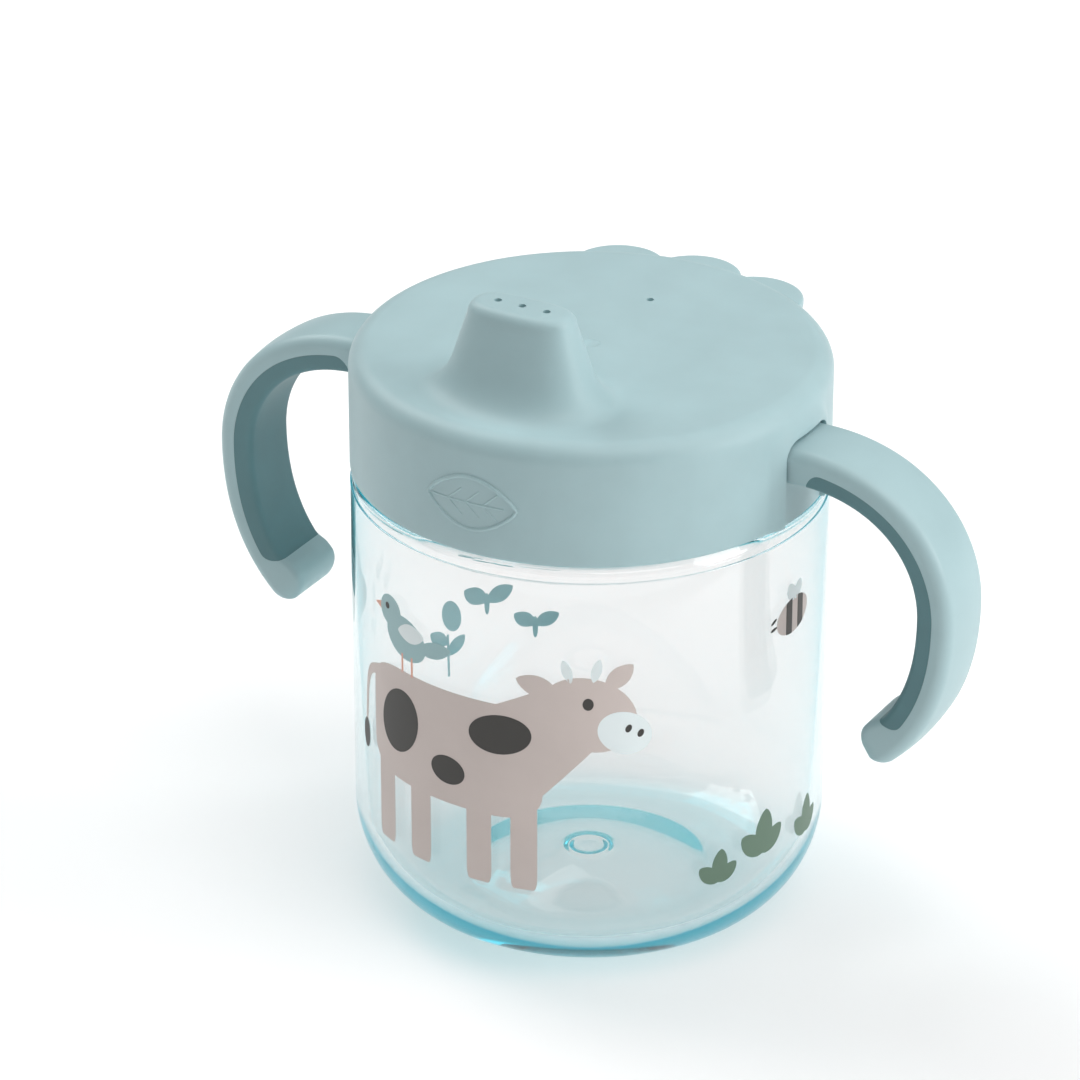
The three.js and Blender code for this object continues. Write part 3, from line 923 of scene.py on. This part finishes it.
def print_bee():
    body = ellipse(60.0, 61.9, 4.7, 3.2, 8)
    printed("bee", [body], INK_TAUPE)
    printed("bee_bands", [bar(x, 57, 1.7, 10) for x in (57.9, 61.3)], INK_DARK, 2, within=body)
    wings = [leaf(60.0, 64.6, 3.6, 2.4, 22), leaf(60.4, 64.6, 3.6, 2.4, -30)]
    printed("bee_wings", wings, INK_PALE)
    feelers = [ellipse(54.6, 62.6, 0.8, 0.28, 30), ellipse(54.6, 61.2, 0.8, 0.28, 12)]
    printed("bee_feelers", feelers, INK_DARK)


def print_plants():
    for i, (x, z, size) in enumerate(((43.2, 17.8, 6.2), (52.8, 19.9, 8.2), (66.2, 17.8, 7.0))):
        leaves = [
            leaf(x, z, size, size * 0.5, -6, 0.62),
            leaf(x, z, size * 0.8, size * 0.46, 46, 0.62),
            leaf(x, z, size * 0.76, size * 0.44, -52, 0.62),
        ]
        printed(f"plant_{i + 1}", leaves, INK_GREEN)
    for i, (x, z, size) in enumerate(((-86.4, 39.6, 5.6), (-95.4, 33.4, 4.8))):
        wings = [leaf(x, z, size, size * 0.62, turn) for turn in (62, -54)]
        body = ellipse(x, z - 0.4, 0.5, 2.3)
        printed(f"butterfly_{i + 1}", wings + [body], INK_BLUE)
    stem = bar(-78.3, 25.5, 0.5, 9)
    leaves = [leaf(-78, 30, 5.2, 2.8, 46), leaf(-78, 32.4, 5.2, 2.8, -50)]
    leaves.append(ellipse(-79.0, 38.2, 2.0, 3.4, -14))
    printed("sprig", [stem] + leaves, INK_BLUE)


# ---------------------------------------------------------------- camera, floor and light

CAMERA_AZIMUTH = math.radians(29.5)
CAMERA_ELEVATION = math.radians(28.1)
CAMERA_DISTANCE = 0.910
CAMERA_VIEW = math.radians(11.46)


def make_camera():
    camera = bpy.data.objects.new("camera", bpy.data.cameras.new("camera"))
    camera.data.sensor_fit = "HORIZONTAL"
    camera.data.angle = CAMERA_VIEW
    camera.data.clip_start = 0.01
    flat = math.cos(CAMERA_ELEVATION)
    back = Vector((
        math.sin(CAMERA_AZIMUTH) * flat,
        -math.cos(CAMERA_AZIMUTH) * flat,
        math.sin(CAMERA_ELEVATION),
    ))
    right = Vector((math.cos(CAMERA_AZIMUTH), math.sin(CAMERA_AZIMUTH), 0))
    up = back.cross(right)
    centre = Vector((0, 0, 45 * MM))
    camera.location = centre + back * CAMERA_DISTANCE
    aim = centre - right * 8.48 * MM + up * 16.95 * MM
    camera.rotation_euler = (camera.location - aim).to_track_quat("Z", "Y").to_euler()
    bpy.context.scene.collection.objects.link(camera)
    bpy.context.scene.camera = camera


def soft_light(name, azimuth, elevation, power, distance=1.5, size=0.8):
    """A square soft box that faces the cup. Azimuth is from the spout's side, towards +X."""
    light = bpy.data.lights.new(name, "AREA")
    light.shape = "SQUARE"
    light.size = size
    light.energy = power
    made = bpy.data.objects.new(name, light)
    a, e = math.radians(azimuth), math.radians(elevation)
    made.location = distance * Vector((math.sin(a) * math.cos(e), -math.cos(a) * math.cos(e), math.sin(e)))
    aim = Vector((0, 0, 50 * MM))
    made.rotation_euler = (made.location - aim).to_track_quat("Z", "Y").to_euler()
    bpy.context.scene.collection.objects.link(made)


def make_floor():
    mesh = bmesh.new()
    bmesh.ops.create_grid(mesh, x_segments=24, y_segments=24, size=3.0)
    data = bpy.data.meshes.new("floor")
    mesh.to_mesh(data)
    mesh.free()
    material, tree = blank_material("studio_floor")
    shader = node(tree, "ShaderNodeBsdfPrincipled", Roughness=0.9)
    shader.inputs["Base Color"].default_value = (0.96, 0.96, 0.96, 1)
    shader.inputs["Specular IOR Level"].default_value = 0.1
    shader.inputs["Emission Color"].default_value = (1, 1, 1, 1)
    shader.inputs["Emission Strength"].default_value = 0.12
    out = tree.nodes.new("ShaderNodeOutputMaterial")
    tree.links.new(shader.outputs["BSDF"], out.inputs["Surface"])
    data.materials.append(material)
    floor = bpy.data.objects.new("floor", data)
    floor.location.z = -0.05 * MM
    bpy.context.scene.collection.objects.link(floor)


def make_studio():
    world = bpy.data.worlds.new("studio")
    world.use_nodes = True
    background = world.node_tree.nodes["Background"]
    background.inputs["Color"].default_value = (1, 1, 1, 1)
    rays = world.node_tree.nodes.new("ShaderNodeLightPath")
    strength = node(world.node_tree, "ShaderNodeMapRange", To_Min=0.18, To_Max=1.0)
    world.node_tree.links.new(rays.outputs["Is Transmission Ray"], strength.inputs["Value"])
    world.node_tree.links.new(strength.outputs["Result"], background.inputs["Strength"])
    bpy.context.scene.world = world
    soft_light("left", -100, 45, 8.2)
    soft_light("low_right", 100, 20, 8.8)
    soft_light("over_right", 60, 65, 6.2)
    soft_light("back_right", 120, 45, 3.6)
    soft_light("over_left", -120, 70, 3.4)
    soft_light("back", 150, 65, 1.6)
    bpy.context.scene.view_settings.view_transform = "Standard"


make_camera()
make_studio()
make_floor()
make_cup()
make_lid()
leaf_mark()
make_handles()
print_cow()
print_bird()
print_bee()
print_plants()
